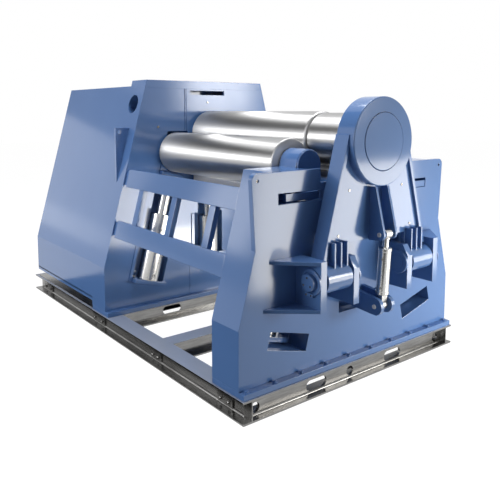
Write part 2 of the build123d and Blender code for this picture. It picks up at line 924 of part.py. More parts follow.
def tilt_barrel():
    """Barrel with its lower eye."""
    barrel = rod_z(tilt_barrel_radius, tilt_barrel_start, tilt_barrel_end)
    bore = tilt_rod_radius + running_clearance
    barrel -= rod_z(bore, tilt_barrel_start + tilt_barrel_floor, tilt_barrel_end + cut_overrun)
    barrel += rod_y(eye_radius, -eye_half_width, eye_half_width, 0, 0)
    barrel += block(-eye_radius, eye_radius, -eye_half_width, eye_half_width, 0, tilt_barrel_start)
    hole = pivot_pin_radius + running_clearance
    barrel -= rod_y(hole, -eye_half_width - cut_overrun, eye_half_width + cut_overrun, 0, 0)
    return tilt_line * barrel


def tilt_rod():
    """Rod with its upper eye, whose hole leaves play round the ribs' pin."""
    rod = rod_z(tilt_rod_radius, tilt_rod_foot, pivot_distance)
    rod += rod_y(eye_radius, -eye_half_width, eye_half_width, 0, pivot_distance)
    hole = pivot_pin_radius + open_pivot_play
    rod -= rod_y(hole, -eye_half_width - cut_overrun, eye_half_width + cut_overrun, 0, pivot_distance)
    return tilt_line * rod


def cylinder_bracket():
    """Two plates and the pin that hold the tilt cylinder's lower eye."""
    nose = Pos(lower_pivot_x, lower_pivot_z) * Circle(bracket_nose_radius)
    root = Line((end_plate_x, bracket_low), (end_plate_x, bracket_high))
    outline = make_hull([*nose.edges(), *root.edges()])
    inner = eye_half_width + eye_side_gap
    outer = inner + bracket_thick
    plates = prism_y(outline, -outer, -inner) + prism_y(outline, inner, outer)
    return plates + rod_y(pivot_pin_radius, -outer, outer, lower_pivot_x, lower_pivot_z)


os.makedirs("parts", exist_ok=True)

save("base_side_beams", both_sides(side_beam()))
save("base_end_beams", Compound(children=[*end_beam(-1).solids(), *end_beam(1).solids()]))
inner_beams = [*inner_beam(drive_beam_x).solids(), *inner_beam(middle_beam_x).solids()]
save("base_cross_beams", Compound(children=inner_beams))
save("drive_stand_foot", foot(drive_back_x, drive_wall_x + foot_overhang))
save("drop_stand_foot", foot(drop_wall_x, end_plate_x + foot_overhang))

save("drive_stand_front", drive_pillar())
save("drive_stand_rear", mirrored(drive_pillar()))
save("drive_stand_sill", sill(drive_back_x, drive_wall_x))
save("drive_stand_horns", both_sides(horn(block_bottom, drive_back_x, drive_wall_x)))
save("drive_stand_cheeks", both_sides(drive_cheek()))
save("drive_stand_cap", drive_cap())
save("top_bearing_block", top_bearing_block())
save("drive_housing", drive_housing())
save("lifting_lugs", both_sides(lifting_lug()))

save("front_tie_bars", tie_bars())
save("rear_tie_bars", mirrored(tie_bars()))
save("front_tie_posts", tie_posts())
save("rear_tie_posts", mirrored(tie_posts()))

save("drop_stand_front", drop_pillar())
save("drop_stand_rear", mirrored(drop_pillar()))
save("drop_stand_sill", drop_sill())
save("drop_stand_horns", both_sides(horn(notch_bottom, drop_wall_x, drop_back_x)))
save("drop_end_plate", end_plate())

save("front_hinge_bracket", mirrored(hinge_bracket()))
save("rear_hinge_bracket", hinge_bracket())
save("hinge_pins", both_sides(hinge_pin()))
save("cylinder_bracket", cylinder_bracket())

for end, wall_x, x, inward in (
    ("drive", drive_wall_x, drive_lift_x, 1),
    ("drop", drop_wall_x, drop_lift_x, -1),
):
    side_barrel = lift_barrel(x, side_barrel_top, side_barrel_bottom)
    bottom_barrel = lift_barrel(x, bottom_barrel_top, bottom_barrel_bottom)
    side_mount = lift_mount(wall_x, inward, side_barrel_bottom)
    bottom_mount = lift_mount(wall_x, inward, bottom_barrel_bottom)
    save(f"{end}_lift_barrels", lift_set(side_barrel, bottom_barrel))
    save(f"{end}_lift_mounts", lift_set(side_mount, bottom_mount))

side_carriages = front_guide * Compound(children=carriages(side_barrel_top))
save("front_side_carriages", side_carriages)
save("rear_side_carriages", mirrored(side_carriages))
save("bottom_carriages", bottom_guide * Compound(children=carriages(bottom_barrel_top)))

side_roll = front_guide * lower_roll(side_roll_radius)
save("top_roll", top_roll())
save("front_side_roll", side_roll)
save("rear_side_roll", mirrored(side_roll))
save("bottom_roll", bottom_guide * lower_roll(bottom_roll_radius))

save("yoke_web", yoke_web())
save("yoke_flanges", both_sides(yoke_flange()))
save("yoke_bearing_ring", bearing_ring())
save(
    "yoke_bearing_cap",
    rod_x(cap_radius, ring_face_x - cap_depth, ring_face_x + cap_proud, 0, top_roll_z),
)
save("yoke_ribs", yoke_ribs())
save("yoke_knuckles", both_sides(knuckle()))
save("tilt_cylinder_barrel", tilt_barrel())
save("tilt_cylinder_rod", tilt_rod())
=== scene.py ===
import json
import math
from collections import namedtuple

import bmesh
import bpy
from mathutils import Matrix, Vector

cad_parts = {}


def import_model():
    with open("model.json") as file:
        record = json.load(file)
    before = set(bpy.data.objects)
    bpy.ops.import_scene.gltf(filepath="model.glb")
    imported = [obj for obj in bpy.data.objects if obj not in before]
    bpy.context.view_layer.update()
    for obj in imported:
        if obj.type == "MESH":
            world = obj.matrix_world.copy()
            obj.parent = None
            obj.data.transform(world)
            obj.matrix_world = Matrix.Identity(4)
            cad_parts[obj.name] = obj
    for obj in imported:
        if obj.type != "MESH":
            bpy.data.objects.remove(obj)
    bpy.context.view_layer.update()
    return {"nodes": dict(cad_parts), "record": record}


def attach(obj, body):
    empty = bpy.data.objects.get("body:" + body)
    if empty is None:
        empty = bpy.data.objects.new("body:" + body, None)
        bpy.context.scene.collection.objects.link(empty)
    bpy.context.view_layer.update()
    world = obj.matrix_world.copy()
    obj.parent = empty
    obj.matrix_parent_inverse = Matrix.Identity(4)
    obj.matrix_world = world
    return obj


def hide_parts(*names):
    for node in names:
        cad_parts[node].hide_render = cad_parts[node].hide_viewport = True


# Looks of a four-roll plate bending machine, in metres.
# +X runs along the rolls towards the drop end, +Y to the rear, +Z up.

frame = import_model()
bpy.ops.object.select_all(action="DESELECT")


# Finishes
class Wire:
    """One output of a finish's nodes. Arithmetic on it adds Math nodes."""

    def __init__(self, finish, socket):
        self.finish = finish
        self.socket = socket

    def _math(self, operation, first, second):
        made = self.finish.node("ShaderNodeMath", {"operation": operation}, {0: first, 1: second})
        return Wire(self.finish, made.outputs[0])

    def __add__(self, other):
        return self._math("ADD", self, other)

    def __radd__(self, other):
        return self._math("ADD", other, self)

    def __sub__(self, other):
        return self._math("SUBTRACT", self, other)

    def __rsub__(self, other):
        return self._math("SUBTRACT", other, self)

    def __mul__(self, other):
        return self._math("MULTIPLY", self, other)

    def __rmul__(self, other):
        return self._math("MULTIPLY", other, self)

    def __gt__(self, other):
        return self._math("GREATER_THAN", self, other)

    def __lt__(self, other):
        return self._math("LESS_THAN", self, other)


class Finish:
    """A node tree with its output, for a material, a floor or the world."""

    def __init__(self, tree, output):
        self.tree = tree
        tree.nodes.clear()
        self.output = tree.nodes.new(output)

    def node(self, kind, settings, sockets):
        """Add a node: its settings first, then the value or the link of each socket."""
        made = self.tree.nodes.new(kind)
        for name, value in settings.items():
            if name == "stops":
                for place, colour in value:
                    stop = made.color_ramp.elements.new(place)
                    stop.color = colour
                made.color_ramp.elements.remove(made.color_ramp.elements[0])
                made.color_ramp.elements.remove(made.color_ramp.elements[-1])
            else:
                setattr(made, name, value)
        for name, value in sockets.items():
            if isinstance(value, Wire):
                self.tree.links.new(value.socket, made.inputs[name])
            else:
                made.inputs[name].default_value = value
        return made

    def wire(self, kind, settings, sockets, output=0):
        """Add a node and give one of its outputs."""
        return Wire(self, self.node(kind, settings, sockets).outputs[output])

    def show(self, wire):
        """Lead a shader to the surface."""
        self.tree.links.new(wire.socket, self.output.inputs["Surface"])


def new_finish(name):
    """A material with an empty node tree."""
    material = bpy.data.materials.new(name)
    material.use_nodes = True
    return material, Finish(material.node_tree, "ShaderNodeOutputMaterial")


def object_place(finish, stretch=(1, 1, 1)):
    """Object coordinates, stretched by a factor on each axis."""
    place = finish.wire("ShaderNodeTexCoord", {}, {}, "Object")
    return finish.wire("ShaderNodeMapping", {}, {"Vector": place, "Scale": stretch})


def noise(finish, scale, detail, stretch=(1, 1, 1)):
    """Soft noise between 0 and 1 over the piece."""
    place = object_place(finish, stretch)
    settings = {"noise_dimensions": "3D"}
    sockets = {"Vector": place, "Scale": scale, "Detail": detail}
    return finish.wire("ShaderNodeTexNoise", settings, sockets)


def blend(finish, mask, under, over):
    """Colour that goes from under to over as the mask rises."""
    settings = {"data_type": "RGBA"}
    return finish.wire("ShaderNodeMix", settings, {0: mask, 6: under, 7: over}, 2)


def bump(finish, height, strength, distance):
    """Normal that follows a height."""
    sockets = {"Height": height, "Strength": strength, "Distance": distance}
    return finish.wire("ShaderNodeBump", {}, sockets)


paint_deep = (0.074, 0.160, 0.372, 1)
paint_pale = (0.088, 0.180, 0.400, 1)
roll_dark = (0.44, 0.44, 0.445, 1)
roll_bright = (0.53, 0.53, 0.53, 1)
chrome_dark = (0.50, 0.50, 0.495, 1)
chrome_bright = (0.60, 0.60, 0.59, 1)
scale_dark = (0.065, 0.065, 0.064, 1)
scale_pale = (0.40, 0.40, 0.396, 1)
rust_brown = (0.16, 0.125, 0.095, 1)
beam_top = (0.30, 0.345, 0.45, 1)
beam_paint_low, beam_paint_depth = 0.1385, 0.0035


def paint_finish():
    """Blue machine paint with a faint orange peel."""
    material, finish = new_finish("blue_paint")
    clouds = noise(finish, scale=2.3, detail=3)
    peel = noise(finish, scale=420, detail=2)
    colour = blend(finish, clouds, paint_deep, paint_pale)
    gloss = 0.11 + 0.05 * noise(finish, scale=5.0, detail=2)
    sockets = {
        "Base Color": colour,
        "Roughness": gloss,
        "Normal": bump(finish, peel, strength=0.04, distance=0.001),
        "Specular IOR Level": 0.6,
    }
    finish.show(finish.wire("ShaderNodeBsdfPrincipled", {}, sockets))
    return material


def roll_finish():
    """Ground steel of the rolls, with fine rings from the grinding wheel."""
    material, finish = new_finish("polished_steel")
    rings = noise(finish, scale=30, detail=3, stretch=(14, 0.4, 0.4))
    clouds = noise(finish, scale=3.1, detail=3)
    colour = blend(finish, rings, roll_dark, roll_bright)
    gloss = 0.36 + 0.08 * rings + 0.05 * clouds
    sockets = {
        "Base Color": colour,
        "Roughness": gloss,
        "Metallic": 1.0,
        "Anisotropic": 0.9,
        "Normal": bump(finish, rings, strength=0.01, distance=0.0004),
    }
    finish.show(finish.wire("ShaderNodeBsdfPrincipled", {}, sockets))
    return material


def chrome_finish():
    """Bright plated steel of the cylinders, drawn along their length."""
    material, finish = new_finish("chrome")
    drawn = noise(finish, scale=60, detail=3, stretch=(1, 1, 0.06))
    colour = blend(finish, drawn, chrome_dark, chrome_bright)
    gloss = 0.20 + 0.10 * drawn
    sockets = {"Base Color": colour, "Roughness": gloss, "Metallic": 1.0}
    finish.show(finish.wire("ShaderNodeBsdfPrincipled", {}, sockets))
    return material


def beam_finish():
    """Rolled steel of the base beams with mill scale, under a thin coat of paint on their top faces."""
    material, finish = new_finish("bare_beam")
    streaks = noise(finish, scale=26, detail=5, stretch=(0.25, 0.25, 3))
    blotches = noise(finish, scale=7, detail=5)
    rust = noise(finish, scale=3.2, detail=6)
    steel = blend(finish, streaks * 0.6 + blotches * 0.4, scale_dark, scale_pale)
    steel = blend(finish, rust * 0.1, steel, rust_brown)
    height = finish.wire("ShaderNodeSeparateXYZ", {}, {0: object_place(finish)}, 2)
    painted = (height > beam_paint_low) * (height < beam_paint_low + beam_paint_depth)
    colour = blend(finish, painted, steel, beam_top)
    gloss = 0.16 + 0.16 * blotches
    pits = noise(finish, scale=160, detail=3)
    sockets = {
        "Base Color": colour,
        "Roughness": gloss,
        "Metallic": 1.0 - painted,
        "Normal": bump(finish, pits, strength=0.08, distance=0.001),
    }
    finish.show(finish.wire("ShaderNodeBsdfPrincipled", {}, sockets))
    return material


finishes = {
    "blue_paint": paint_finish(),
    "polished_steel": roll_finish(),
    "chrome": chrome_finish(),
    "bare_beam": beam_finish(),
}


# Handwork on meshes
origin, upright, roll_axis = (0, 0, 0), (0, 0, 1), (1, 0, 0)
sharp_angle, flat_angle = math.radians(35), math.radians(0.5)
ring_gap, corner_gap = 0.00001, 0.00002


def take(piece):
    """Make a piece the only one selected."""
    bpy.ops.object.select_all(action="DESELECT")
    piece.select_set(True)
    bpy.context.view_layer.objects.active = piece


def open_edit(piece):
    """Enter edit mode with everything selected."""
    take(piece)
    bpy.ops.object.mode_set(mode="EDIT")
    bpy.ops.mesh.select_mode(type="VERT")
    bpy.ops.mesh.select_all(action="SELECT")


def close_edit():
    """Leave edit mode."""
    bpy.ops.object.mode_set(mode="OBJECT")


def pick_faces(piece, test):
    """In edit mode, select the faces whose middle and normal pass a test."""
    bpy.ops.mesh.select_mode(type="FACE")
    bpy.ops.mesh.select_all(action="DESELECT")
    mesh = bmesh.from_edit_mesh(piece.data)
    for face in mesh.faces:
        face.select_set(test(face.calc_center_median(), face.normal))
    bmesh.update_edit_mesh(piece.data)


def apply(piece, modifier):
    """Apply a modifier."""
    take(piece)
    bpy.ops.object.modifier_apply(modifier=modifier.name)


def soften(piece, width, crease=30):
    """Round the sharp edges with a bevel and shade the piece, flat faces kept flat."""
    edges = piece.modifiers.new("edges", "BEVEL")
    edges.width = width
    edges.segments = 2
    edges.limit_method = "ANGLE"
    edges.angle_limit = sharp_angle
    edges.use_clamp_overlap = True
    apply(piece, edges)
    bpy.ops.object.shade_smooth_by_angle(angle=math.radians(crease))
    flat = piece.modifiers.new("flat", "WEIGHTED_NORMAL")
    flat.keep_sharp = True
    apply(piece, flat)


def fix_place(piece):
    """Put the piece's place, turn and scale into its mesh."""
    take(piece)
    bpy.ops.object.transform_apply(location=True, rotation=True, scale=True)


def hand_over(piece, name, body, slot, stands_for=()):
    """Name a finished piece, give it its finish and tie it to its body."""
    piece.name = name
    piece.data.name = name
    piece.data.materials.clear()
    piece.data.materials.append(finishes[slot])
    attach(piece, body)
    if stands_for:
        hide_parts(*stands_for)


def along(direction):
    """Turn that takes +Z to a direction."""
    return Vector(upright).rotation_difference(Vector(direction)).to_euler()


def set_down(piece, place, direction):
    """Put a piece that was made at the origin at a place, its +Z along a direction."""
    piece.rotation_euler = along(direction)
    piece.location = place
    fix_place(piece)


def turned(profile, start, direction, sides, closed=False):
    """A round piece, drawn ring by ring along a line. The profile lists places along it and radii."""
    place, radius = profile[0]
    bpy.ops.object.select_all(action="DESELECT")
    fill = "NOTHING" if closed else "NGON"
    bpy.ops.mesh.primitive_circle_add(vertices=sides, radius=radius, fill_type=fill, location=origin)
    piece = bpy.context.object
    open_edit(piece)
    bpy.ops.transform.translate(value=(0, 0, place))
    for (low, near), (high, far) in zip(profile, profile[1:]):
        bpy.ops.mesh.extrude_region_move(TRANSFORM_OT_translate={"value": (0, 0, high - low)})
        if far != near:
            bpy.ops.transform.resize(value=(far / near, far / near, 1), center_override=(0, 0, high))
    bpy.ops.mesh.select_all(action="SELECT")
    bpy.ops.mesh.remove_doubles(threshold=ring_gap)
    bpy.ops.mesh.normals_make_consistent(inside=False)
    close_edit()
    set_down(piece, start, direction)
    return piece


def slab(low, high, soft):
    """A block between two corners, with eased edges unless soft is 0."""
    low, high = Vector(low), Vector(high)
    bpy.ops.object.select_all(action="DESELECT")
    bpy.ops.mesh.primitive_cube_add(size=1, location=(low + high) / 2)
    piece = bpy.context.object
    piece.scale = high - low
    fix_place(piece)
    if soft:
        soften(piece, soft)
    return piece


def side_slab(side, low, high, soft):
    """A block with its corners given for the rear side (1), or its twin on the front side (-1)."""
    near, far = sorted((side * low[1], side * high[1]))
    return slab((low[0], near, low[2]), (high[0], far, high[2]), soft)


def joined(pieces):
    """One piece from several."""
    bpy.ops.object.select_all(action="DESELECT")
    for piece in pieces:
        piece.select_set(True)
    bpy.context.view_layer.objects.active = pieces[0]
    bpy.ops.object.join()
    return bpy.context.object


def copied(model, places):
    """Copies of a model, which stands at the origin and faces +Z, at places with their directions."""
    copies = []
    for place, direction in places:
        copy = model.copy()
        copy.data = model.data.copy()
        bpy.context.scene.collection.objects.link(copy)
        set_down(copy, place, direction)
        copies.append(copy)
    bpy.data.objects.remove(model, do_unlink=True)
    return joined(copies)


def combine(piece, other, operation):
    """Cut one piece with another, or unite the two."""
    change = piece.modifiers.new("combine", "BOOLEAN")
    change.operation = operation
    change.solver = "EXACT"
    change.object = other
    apply(piece, change)
    bpy.data.objects.remove(other, do_unlink=True)


def clean(piece):
    """Join what is left of split corners and flat faces."""
    open_edit(piece)
    bpy.ops.mesh.remove_doubles(threshold=corner_gap)
    bpy.ops.mesh.dissolve_limited(angle_limit=flat_angle)
    close_edit()


def bare_copy(node):
    """A merged copy of a CAD node."""
    source = frame["nodes"][node]
    piece = source.copy()
    piece.data = source.data.copy()
    for key in [key for key in piece.keys() if key.startswith("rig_")]:
        del piece[key]
    piece.parent = None
    bpy.context.scene.collection.objects.link(piece)
    open_edit(piece)
    bpy.ops.mesh.customdata_custom_splitnormals_clear()
    close_edit()
    clean(piece)
    return piece


def welded(nodes):
    """Copies of touching CAD nodes, united into one piece without seams."""
    piece = bare_copy(nodes[0])
    for node in nodes[1:]:
        combine(piece, bare_copy(node), "UNION")
    clean(piece)
    return piece


def groove(piece, low, high):
    """Cut a straight seam or pocket between two corners."""
    combine(piece, slab(low, high, soft=0), "DIFFERENCE")


def bore(piece, middle, radius):
    """Cut a round hole through a web that faces along the rolls."""
    reach = 0.05
    hole = turned([(-reach, radius), (reach, radius)], middle, roll_axis, sides=32)
    combine(piece, hole, "DIFFERENCE")


slots = {part["node"]: part["material_slot"] for part in frame["record"]["subparts"]}
bodies = {}
for body, members in frame["record"]["behaviour"]["bodies"].items():
    for member in members:
        bodies[member] = body


# Places that several pieces share
drive_wall, drop_wall = -0.207, 1.273
end_face, housing_face = 1.537, -1.756
stand_bottom = 0.176
top_roll_z, bottom_roll_z = 1.572, 1.186
side_roll_y, side_roll_z = 0.33158, 1.418
hinge_x, hinge_z = 1.673, 0.770
tilt_foot = (1.729, 0, 0.536)
tilt_up = Vector((0.028, 0, 0.462)).normalized()
tilt_length = 0.46285

# Guide of a lower roll: the roll's axis, the way up, and its cylinders' ends, measured up from the axis
Guide = namedtuple("Guide", "y z up top bottom")
guide_lean = math.radians(14.8)
lean_y, lean_z = math.sin(guide_lean), math.cos(guide_lean)
guides = {
    "front_side": Guide(-side_roll_y, side_roll_z, (0, lean_y, lean_z), top=-0.530, bottom=-1.080),
    "rear_side": Guide(side_roll_y, side_roll_z, (0, -lean_y, lean_z), top=-0.530, bottom=-1.080),
    "bottom": Guide(0, bottom_roll_z, upright, top=-0.335, bottom=-0.665),
}
lift_places = {"drive": -0.217, "drop": 1.283}
bearing_foot = 0.206

# Outer faces of the end beams' webs in the solids, by the way they face
end_webs = {1: 1.5245, -1: -1.7265}
web_plate, web_hole_z = 0.012, 0.053


# Plates and brackets: the CAD nodes with eased edges
edge_widths = {
    "base_side_beams": 0.003,
    "drive_stand_foot": 0.004,
    "drop_stand_foot": 0.004,
    "drive_stand_cap": 0.0015,
    "lifting_lugs": 0.003,
    "front_tie_bars": 0.004,
    "rear_tie_bars": 0.004,
    "front_tie_posts": 0.003,
    "rear_tie_posts": 0.003,
    "front_hinge_bracket": 0.003,
    "rear_hinge_bracket": 0.003,
    "cylinder_bracket": 0.003,
    "yoke_web": 0.002,
    "yoke_flanges": 0.003,
    "yoke_ribs": 0.003,
    "yoke_knuckles": 0.003,
}
for node, width in edge_widths.items():
    piece = bare_copy(node)
    soften(piece, width)
    hand_over(piece, f"{node}_dressed", bodies[node], slots[node], (node,))


# Stands, housing and base beams
def drive_stand():
    """Welded drive stand with grooves in its wall and a round port in each slope."""
    nodes = (
        "drive_stand_front",
        "drive_stand_sill",
        "drive_stand_rear",
        "drive_stand_horns",
        "drive_stand_cheeks",
    )
    piece = welded(nodes)
    face, back = drive_wall + 0.01, drive_wall - 0.007
    half = 0.003
    for y in (-0.234, -0.218):
        groove(piece, (back, y - half, 1.58), (face, y + half, 1.96))
    groove(piece, (back, -0.202, 0.17), (face, -0.197, 0.48))
    port_radius, port_depth = 0.077, 0.28
    for side in (-1, 1):
        mouth = (-0.343, side * 0.6117, 1.8081)
        inward = (0, -side * 0.965, -0.2621)
        port = turned([(0, port_radius), (port_depth, port_radius)], mouth, inward, sides=64)
        combine(piece, port, "DIFFERENCE")
    soften(piece, 0.003, crease=12)
    hand_over(piece, "drive_stand_welded", "frame", "blue_paint", nodes)


def bearing_block():
    """Bearing block of the top roll, with a deep window under the cap."""
    piece = bare_copy("top_bearing_block")
    groove(piece, (drive_wall - 0.19, -0.176, 1.890), (drive_wall - 0.03, 0.260, 1.936))
    soften(piece, 0.005)
    hand_over(piece, "top_bearing_block_dressed", "frame", "blue_paint", ("top_bearing_block",))


def drop_stand():
    """Welded drop stand with its end plate."""
    nodes = (
        "drop_stand_front",
        "drop_stand_sill",
        "drop_stand_rear",
        "drop_stand_horns",
        "drop_end_plate",
    )
    piece = welded(nodes)
    soften(piece, 0.003, crease=12)
    hand_over(piece, "drop_stand_welded", "frame", "blue_paint", nodes)


def housing():
    """Drive housing with panel seams on its rear side and roof, and slits beside the drive stand."""
    piece = bare_copy("drive_housing")
    half = 0.002
    for x in (-1.3, -0.88):
        groove(piece, (x - half, 0.4, 0.28), (x + half, 1.0, 1.93))
        groove(piece, (x - half, -0.55, 1.961), (x + half, 0.55, 1.97))
    for side in (-1, 1):
        slit = side_slab(side, (-0.463, 0.80, 0.2), (-0.440, 1.0, 1.30), soft=0)
        combine(piece, slit, "DIFFERENCE")
    soften(piece, 0.006, crease=12)
    hand_over(piece, "drive_housing_dressed", "frame", "blue_paint", ("drive_housing",))


def housing_foot():
    """Folded lips along the housing's lower edges, over dark metal strips on the side beams that stand
    in for the shade under the housing.
    """
    lips, strips = [], []
    for side in (-1, 1):
        lips.append(side_slab(side, (-1.754, 0.966, 0.203), (-0.465, 0.982, 0.240), soft=0.003))
        # Painted shade: dark strips laid on the beams' top flanges where the housing's overhang shades
        # them.
        strips.append(side_slab(side, (-1.740, 0.875, 0.139), (-0.460, 0.985, 0.146), soft=0.002))
    hand_over(joined(lips), "housing_lips", "frame", "blue_paint")
    hand_over(joined(strips), "housing_shade_strips", "frame", "bare_beam")


def end_beams():
    """End beams of the base, with outer plates on their webs, round holes and oblong slots."""
    hole_radius, slot_radius, slot_half = 0.032, 0.036, 0.0525
    reach, overlap = 0.05, 0.002
    piece = bare_copy("base_end_beams")
    for end, web in end_webs.items():
        near, far = sorted((web - end * overlap, web + end * web_plate))
        combine(piece, slab((near, -0.930, 0.010), (far, 0.930, 0.130), soft=0), "UNION")
        cuts = [(y, hole_radius) for y in (-0.870, -0.068, 0.870)]
        for y in (-0.375, 0.368):
            low = (web - reach, y - slot_half, web_hole_z - slot_radius)
            high = (web + reach, y + slot_half, web_hole_z + slot_radius)
            groove(piece, low, high)
            cuts += [(y - slot_half, slot_radius), (y + slot_half, slot_radius)]
        for y, radius in cuts:
            bore(piece, (web, y, web_hole_z), radius)
    soften(piece, 0.002)
    hand_over(piece, "base_end_beams_dressed", "frame", "bare_beam", ("base_end_beams",))


def corner_webs():
    """Ends of the side beams' webs, which run on to the corners of the base."""
    webs = []
    for low, high in ((1.515, 1.5905), (-1.7925, -1.717)):
        for side in (-1, 1):
            webs.append(side_slab(side, (low, 0.930, 0.011), (high, 0.937, 0.129), soft=0.001))
    hand_over(joined(webs), "base_corner_webs", "frame", "bare_beam")


def cross_beams():
    """Cross beams of the base, the first one with oblong slots in its web."""
    web, middle = -0.227, 0.07
    slot_radius, slot_half = 0.034, 0.055
    piece = bare_copy("base_cross_beams")
    for y in (-0.37, 0.37):
        low = (-0.26, y - slot_half, middle - slot_radius)
        high = (-0.19, y + slot_half, middle + slot_radius)
        groove(piece, low, high)
        for end in (y - slot_half, y + slot_half):
            bore(piece, (web, end, middle), slot_radius)
    soften(piece, 0.003)
    hand_over(piece, "base_cross_beams_dressed", "frame", "bare_beam", ("base_cross_beams",))


drive_stand()
bearing_block()
drop_stand()
housing()
housing_foot()
end_beams()
corner_webs()
cross_beams()


# Rolls
def top_roll():
    """Top roll with a groove between barrel and neck."""
    profile = [
        (-0.446, 0.110),
        (-0.169, 0.110),
        (-0.169, 0.181),
        (-0.164, 0.186),
        (1.196, 0.186),
        (1.203, 0.179),
        (1.203, 0.150),
        (1.217, 0.150),
        (1.217, 0.170),
        (1.223, 0.176),
        (1.549, 0.176),
        (1.557, 0.168),
        (1.557, 0.108),
        (1.690, 0.080),
    ]
    piece = turned(profile, (0, 0, top_roll_z), roll_axis, sides=192)
    soften(piece, 0.001)
    hand_over(piece, "top_roll_ground", "top_roll", "polished_steel", ("top_roll",))


def lower_roll(name, y, z, radius):
    """Lower roll with chamfered barrel ends and a journal at each end."""
    edge, journal = 0.006, 0.075
    drive_end, drop_end = -0.182, 1.231
    profile = [
        (-0.441, 0.073),
        (-0.439, journal),
        (drive_end, journal),
        (drive_end, radius - edge),
        (drive_end + edge, radius),
        (drop_end - edge, radius),
        (drop_end, radius - edge),
        (drop_end, journal),
        (1.393, journal),
        (1.395, 0.073),
    ]
    piece = turned(profile, (0, y, z), roll_axis, sides=192)
    soften(piece, 0.001)
    hand_over(piece, f"{name}_ground", name, "polished_steel", (name,))


top_roll()
lower_roll("front_side_roll", -side_roll_y, side_roll_z, radius=0.166)
lower_roll("rear_side_roll", side_roll_y, side_roll_z, radius=0.166)
lower_roll("bottom_roll", 0, bottom_roll_z, radius=0.170)


# Fasteners
def hex_bolt(across, height):
    """Hexagon head on a washer, standing on the origin. The size is the width across flats."""
    corner_share = 0.577
    rim = across * corner_share
    washer_profile = [
        (0, rim * 1.5),
        (height * 0.18, rim * 1.5),
        (height * 0.22, rim * 1.42),
    ]
    head_profile = [
        (height * 0.2, rim),
        (height * 1.02, rim),
        (height * 1.2, rim * 0.8),
    ]
    washer = turned(washer_profile, origin, upright, sides=20)
    head = turned(head_profile, origin, upright, sides=6)
    return joined([washer, head])


def socket_screw(radius, height):
    """Round screw head with a sunk middle, standing on the origin."""
    profile = [
        (0, radius),
        (height * 0.8, radius),
        (height, radius * 0.9),
        (height, radius * 0.55),
        (height * 0.35, radius * 0.5),
    ]
    return turned(profile, origin, upright, sides=18)


def put_screws(name, body, radius, height, places):
    """Dark socket screws or plugs at places with their directions."""
    hand_over(copied(socket_screw(radius, height), places), name, body, "bare_beam")


def fasteners():
    """Bolts of the drop end's foot plate, and screws of the ears, the drive wall and the yoke's web."""
    foot_x, ear_x, web_x = 1.561, end_face - 0.012, 1.672
    feet = []
    for y in (0.106, 0.3176, 0.529, 0.741, 0.952):
        feet += [((foot_x, y, stand_bottom), upright), ((foot_x, -y, stand_bottom), upright)]
    bolts = copied(hex_bolt(across=0.024, height=0.010), feet)
    hand_over(bolts, "foot_bolts", "frame", "blue_paint")
    ears = [((ear_x, side * 0.855, 1.368), roll_axis) for side in (-1, 1)]
    put_screws("ear_screws", "frame", 0.0085, 0.007, ears)
    wall = [((drive_wall, 0, 1.834), roll_axis), ((drive_wall, -0.49, 1.63), roll_axis)]
    put_screws("wall_screws", "frame", 0.010, 0.004, wall)
    web = []
    for side in (-1, 1):
        for y, z in ((0.251, 1.281), (0.342, 1.013)):
            web.append(((web_x, side * y, z), roll_axis))
    put_screws("web_screws", "yoke", 0.009, 0.003, web)


fasteners()


# Carriages, lift cylinders with their seats, recess strips and the bars behind the ears
def below_foot(guide):
    """Test for faces of a carriage's rods, which lie under its bearings."""
    up = Vector(guide.up)
    level = Vector((0, guide.y, guide.z)).dot(up) - bearing_foot
    return lambda middle, normal: middle.dot(up) < level


def carriage(name):
    """Bearings of one lower roll, with a cover at the drop end, on bright cylinder rods."""
    guide = guides[name]
    node = f"{name}_carriages"
    piece = bare_copy(node)
    open_edit(piece)
    pick_faces(piece, below_foot(guide))
    bpy.ops.mesh.delete(type="FACE")
    close_edit()
    soften(piece, 0.003)
    cover_profile = [(1.396, 0.101), (1.405, 0.101), (1.409, 0.097), (1.409, 0.02)]
    cover = turned(cover_profile, (0, guide.y, guide.z), roll_axis, sides=64)
    soften(cover, 0.001)
    hand_over(joined([piece, cover]), f"{node}_dressed", bodies[node], "blue_paint", (node,))
    rod_profile = [
        (guide.top - 0.080, 0.043),
        (guide.top - 0.078, 0.045),
        (-0.223, 0.045),
        (-0.221, 0.058),
        (-0.208, 0.058),
        (-0.205, 0.055),
    ]
    rods = []
    for x in lift_places.values():
        rods.append(turned(rod_profile, (x, guide.y, guide.z), guide.up, sides=64))
    rod = joined(rods)
    soften(rod, 0.0006)
    hand_over(rod, f"{node}_rods", bodies[node], "chrome", (node,))


def lift_cylinders(end):
    """Bright barrels at one stand, each with a gland, a base ring and two ports."""
    inward = 1 if end == "drive" else -1
    port_seat = 0.0855
    barrels, ports = [], []
    for guide in guides.values():
        top, bottom = guide.top, guide.bottom
        axis = (lift_places[end], guide.y, guide.z)
        profile = [
            (bottom, 0.084),
            (bottom + 0.003, 0.088),
            (bottom + 0.022, 0.088),
            (bottom + 0.024, 0.0868),
            (top - 0.034, 0.0868),
            (top - 0.032, 0.088),
            (top - 0.003, 0.088),
            (top, 0.084),
            (top, 0.062),
            (top - 0.006, 0.060),
            (top - 0.006, 0.0453),
            (bottom + 0.062, 0.0453),
        ]
        barrels.append(turned(profile, axis, guide.up, sides=96))
        for level, aside in ((bottom + 0.045, 0.0), (top - 0.125, -0.25)):
            side = Vector((inward, aside, 0)).normalized()
            place = Vector(axis) + Vector(guide.up) * level + side * port_seat
            ports.append((tuple(place), tuple(side)))
    piece = joined(barrels)
    soften(piece, 0.0008)
    node = f"{end}_lift_barrels"
    hand_over(piece, f"{node}_turned", "frame", "chrome", (node,))
    put_screws(f"{node}_ports", "frame", 0.0115, 0.0035, ports)


